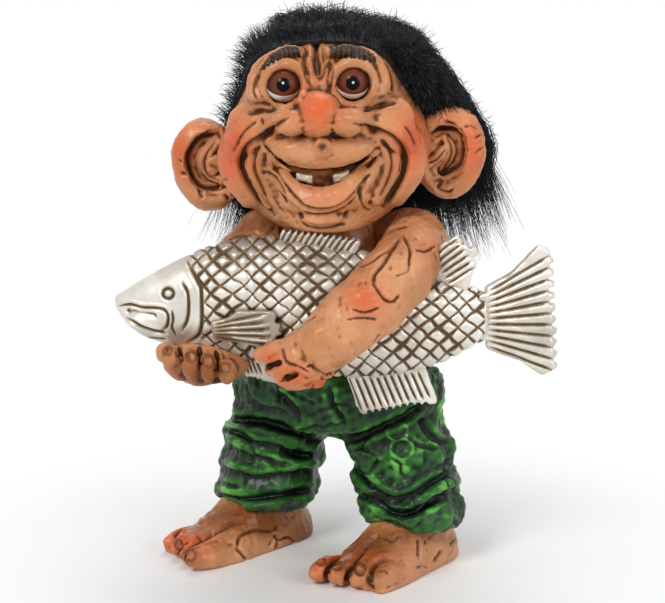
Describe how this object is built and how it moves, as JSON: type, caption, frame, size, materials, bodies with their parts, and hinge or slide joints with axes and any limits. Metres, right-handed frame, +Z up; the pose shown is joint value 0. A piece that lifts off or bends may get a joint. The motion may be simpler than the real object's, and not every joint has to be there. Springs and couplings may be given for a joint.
{
  "type": "troll figure",
  "caption": "Standing folk troll with a broad grin, big ears and a black fur wig, hugging a large silver fish; a shelf ornament in painted castings.",
  "frame": {"origin": "middle of the bounding box at the floor, between the feet", "axes": "+Z up, the figure faces -Y, its left side is towards +X"},
  "size_m": [0.1333, 0.0888, 0.1769],
  "materials": {
    "skin_paint": "tan paint with a dark brown antique wash and orange-red blush, satin varnish",
    "trouser_paint": "black-green paint with bright green dry-brushed highlights, gloss varnish",
    "fish_silver": "pearly silver paint with a bronze-brown wash in the grooves",
    "hair_fur": "long-pile black imitation fur",
    "wig_backing": "knitted black backing cloth",
    "eye_gloss": "red-brown iris with a black pupil, high gloss",
    "tooth_paint": "off-white gloss paint",
    "pin_steel": "plain drawn pin",
    "dowel_wood": "plain turned dowel"
  },
  "bodies": {
    "root": {"right_foot": "skin_paint", "left_foot": "skin_paint", "torso": "skin_paint", "head": "skin_paint", "right_ear": "skin_paint", "left_ear": "skin_paint", "right_arm": "skin_paint", "left_arm": "skin_paint", "fish_body": "fish_silver", "fish_tail_fin": "fish_silver", "fish_dorsal_fin": "fish_silver", "fish_adipose_fin": "fish_silver", "fish_anal_fin": "fish_silver", "fish_pelvic_fin": "fish_silver", "fish_pectoral_fin": "fish_silver", "right_ankle_pin": "pin_steel", "left_ankle_pin": "pin_steel", "right_shoulder_pin": "pin_steel", "left_shoulder_pin": "pin_steel", "fish_pins": "pin_steel", "waist_dowel": "dowel_wood", "neck_dowel": "dowel_wood", "trousers": "trouser_paint", "right_eye": "eye_gloss", "left_eye": "eye_gloss", "teeth": "tooth_paint", "wig_cap": "wig_backing", "hair": "hair_fur"}
  },
  "joints": []
}
